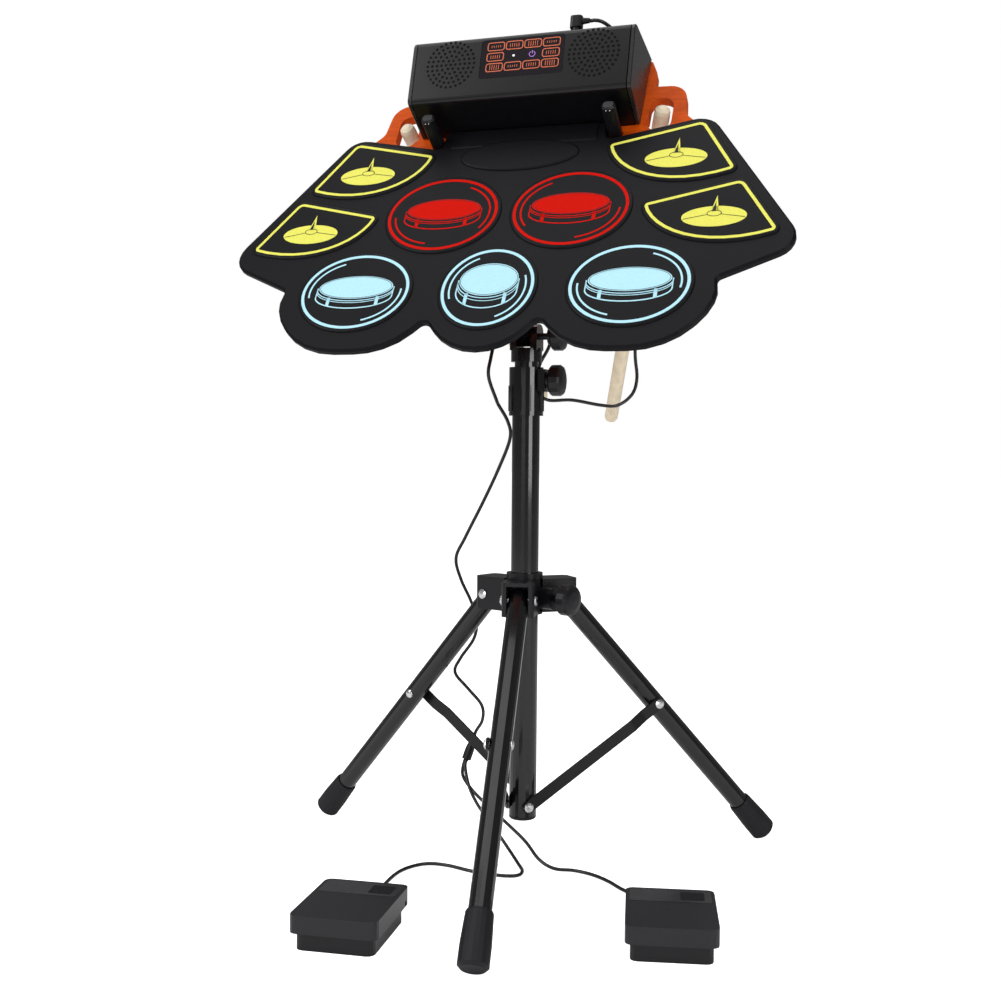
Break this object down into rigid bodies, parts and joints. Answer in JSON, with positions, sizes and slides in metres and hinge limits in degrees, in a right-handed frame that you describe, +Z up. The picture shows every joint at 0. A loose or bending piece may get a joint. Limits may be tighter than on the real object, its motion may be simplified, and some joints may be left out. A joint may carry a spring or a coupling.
{
  "type": "electronic drum pad kit",
  "caption": "Electronic drum pad on a folding tripod stand, with a speaker box, two drumsticks and two foot pedals.",
  "frame": {"origin": "centre of the bounding box's bottom face, leads left out, on the floor", "axes": "+Z up along the column, -Y towards the player, +X to the player's right"},
  "size_m": [0.4966, 0.5637, 0.765],
  "materials": {
    "black_enamel": "gloss black paint",
    "black_plastic": "fine matte",
    "black_rubber": "matte",
    "bright_steel": "plated",
    "stained_plywood": "orange stain, satin",
    "silicone": "matte",
    "matte_shell": "satin black",
    "end_cap_plastic": "satin black",
    "panel_gloss": "glossy",
    "speaker_steel": "plain",
    "battery_wrap": "shrink wrap",
    "circuit_green": "solder mask",
    "maple": "clear satin",
    "pedal_gloss": "satin gloss",
    "black_pvc": "plain"
  },
  "bodies": {
    "stand": {"lower_tube": "black_enamel", "tube_end_plug": "black_plastic", "foot_rivet_1": "bright_steel", "foot_rivet_2": "bright_steel", "foot_rivet_3": "bright_steel", "clamp_collar": "black_plastic", "pedal_base_left": "black_plastic", "pedal_base_right": "black_plastic", "pedal_switch_left": "circuit_green", "pedal_switch_right": "circuit_green", "pedal_spring_left": "bright_steel", "pedal_spring_right": "bright_steel", "column_lead": "black_pvc", "lead_splitter": "black_plastic", "pedal_lead_left": "black_pvc", "pedal_lead_right": "black_pvc"},
    "mast": {"mast_tube": "black_enamel"},
    "head": {"head_fork": "black_enamel"},
    "tilt_clamp": {"tilt_knob": "black_plastic"},
    "height_clamp": {"height_knob": "black_plastic"},
    "hub": {"leg_hub": "black_plastic", "leg_pin_1": "bright_steel", "leg_pin_2": "bright_steel", "leg_pin_3": "bright_steel"},
    "hub_clamp": {"hub_knob": "black_plastic"},
    "pad": {"tilt_bracket": "black_enamel", "bracket_screw_1": "bright_steel", "bracket_screw_2": "bright_steel", "plywood_board": "stained_plywood", "drum_mat": "silicone", "rest_peg_left": "black_plastic", "rest_peg_right": "black_plastic", "box_shell": "matte_shell", "end_cap_left": "end_cap_plastic", "end_cap_right": "end_cap_plastic", "box_base": "black_plastic", "speaker_left": "speaker_steel", "speaker_right": "speaker_steel", "battery_pack": "battery_wrap", "circuit_board": "circuit_green", "touch_panel": "panel_gloss", "jack_plug": "black_plastic", "pad_lead": "black_pvc"},
    "stick_left": {"drumstick_left": "maple"},
    "stick_right": {"drumstick_right": "maple"},
    "treadle_left": {"pedal_lid_left": "pedal_gloss"},
    "treadle_right": {"pedal_lid_right": "pedal_gloss"},
    "leg_1": {"leg_1": "black_enamel", "boot_1": "black_rubber"},
    "brace_1": {"brace_1": "black_enamel", "brace_rivet_1": "bright_steel"},
    "leg_2": {"leg_2": "black_enamel", "boot_2": "black_rubber"},
    "brace_2": {"brace_2": "black_enamel", "brace_rivet_2": "bright_steel"},
    "leg_3": {"leg_3": "black_enamel", "boot_3": "black_rubber"},
    "brace_3": {"brace_3": "black_enamel", "brace_rivet_3": "bright_steel"}
  },
  "joints": [
    {"name": "hub_slide", "type": "slide", "parent": "stand", "child": "hub", "axis": [0, 0, 1], "range_m": [0, 0.1059]},
    {"name": "leg_fold_1", "type": "hinge", "parent": "hub", "child": "leg_1", "pos_m": [0.00831, -0.05684, 0.2493], "axis": [0.9851, 0.1719, 0], "range_deg": [0, 42.29]},
    {"name": "brace_fold_1", "type": "hinge", "parent": "stand", "child": "brace_1", "pos_m": [0.0019, -0.0201, 0.0578], "axis": [-0.9851, -0.1719, 0], "range_deg": [0, 43.78]},
    {"name": "leg_fold_2", "type": "hinge", "parent": "hub", "child": "leg_2", "pos_m": [0.03052, 0.00383, 0.2493], "axis": [-0.6414, 0.7672, 0], "range_deg": [0, 42.29]},
    {"name": "brace_fold_2", "type": "hinge", "parent": "stand", "child": "brace_2", "pos_m": [0.0019, -0.0201, 0.0578], "axis": [0.6414, -0.7672, 0], "range_deg": [0, 43.78]},
    {"name": "leg_fold_3", "type": "hinge", "parent": "hub", "child": "leg_3", "pos_m": [-0.03313, -0.00728, 0.2493], "axis": [-0.3437, -0.9391, 0], "range_deg": [0, 42.29]},
    {"name": "brace_fold_3", "type": "hinge", "parent": "stand", "child": "brace_3", "pos_m": [0.0019, -0.0201, 0.0578], "axis": [0.3437, 0.9391, 0], "range_deg": [0, 43.78]},
    {"name": "hub_knob_turn", "type": "hinge", "parent": "hub", "child": "hub_clamp", "pos_m": [0.0019, -0.0201, 0.2493], "axis": [0.9391, -0.3437, 0], "range_deg": [0, 300]},
    {"name": "height_knob_turn", "type": "hinge", "parent": "stand", "child": "height_clamp", "pos_m": [0.0019, -0.0201, 0.4445], "axis": [1, 0, 0], "range_deg": [0, 300]},
    {"name": "height_slide", "type": "slide", "parent": "stand", "child": "mast", "axis": [0, 0, 1], "range_m": [0, 0.2]},
    {"name": "head_swivel", "type": "hinge", "parent": "mast", "child": "head", "pos_m": [0.0019, -0.0201, 0.47], "axis": [0, 0, 1], "range_deg": [-90, 90], "deforming": ["column_lead"]},
    {"name": "tilt_knob_turn", "type": "hinge", "parent": "head", "child": "tilt_clamp", "pos_m": [0.0019, -0.0201, 0.484], "axis": [1, 0, 0], "range_deg": [0, 300]},
    {"name": "head_tilt", "type": "hinge", "parent": "head", "child": "pad", "pos_m": [0.0019, -0.0201, 0.484], "axis": [1, 0, 0], "range_deg": [-56.98, 8], "deforming": ["pad_lead"]},
    {"name": "stick_swing_left", "type": "hinge", "parent": "pad", "child": "stick_left", "pos_m": [-0.1166, -0.01044, 0.67283], "axis": [1, 0, 0], "range_deg": [0, 12]},
    {"name": "stick_swing_right", "type": "hinge", "parent": "pad", "child": "stick_right", "pos_m": [0.1204, -0.01044, 0.67283], "axis": [1, 0, 0], "range_deg": [0, 12]},
    {"name": "treadle_press_left", "type": "hinge", "parent": "stand", "child": "treadle_left", "pos_m": [-0.07722, -0.1946, 0.0165], "axis": [0.994, 0.1097, 0], "range_deg": [0, 3], "stiffness_Nm_per_rad": 6, "springref_deg": -1.15, "deforming": ["pedal_spring_left"]},
    {"name": "treadle_press_right", "type": "hinge", "parent": "stand", "child": "treadle_right", "pos_m": [0.16103, -0.12583, 0.0165], "axis": [0.9748, 0.2233, 0], "range_deg": [0, 3], "stiffness_Nm_per_rad": 6, "springref_deg": -1.15, "deforming": ["pedal_spring_right"]}
  ],
  "couplings": [
    {"joint": "leg_fold_1", "follows": "hub_slide", "rad_per_m": 6.967},
    {"joint": "brace_fold_1", "follows": "hub_slide", "rad_per_m": 7.213},
    {"joint": "leg_fold_2", "follows": "hub_slide", "rad_per_m": 6.967},
    {"joint": "brace_fold_2", "follows": "hub_slide", "rad_per_m": 7.213},
    {"joint": "leg_fold_3", "follows": "hub_slide", "rad_per_m": 6.967},
    {"joint": "brace_fold_3", "follows": "hub_slide", "rad_per_m": 7.213}
  ]
}
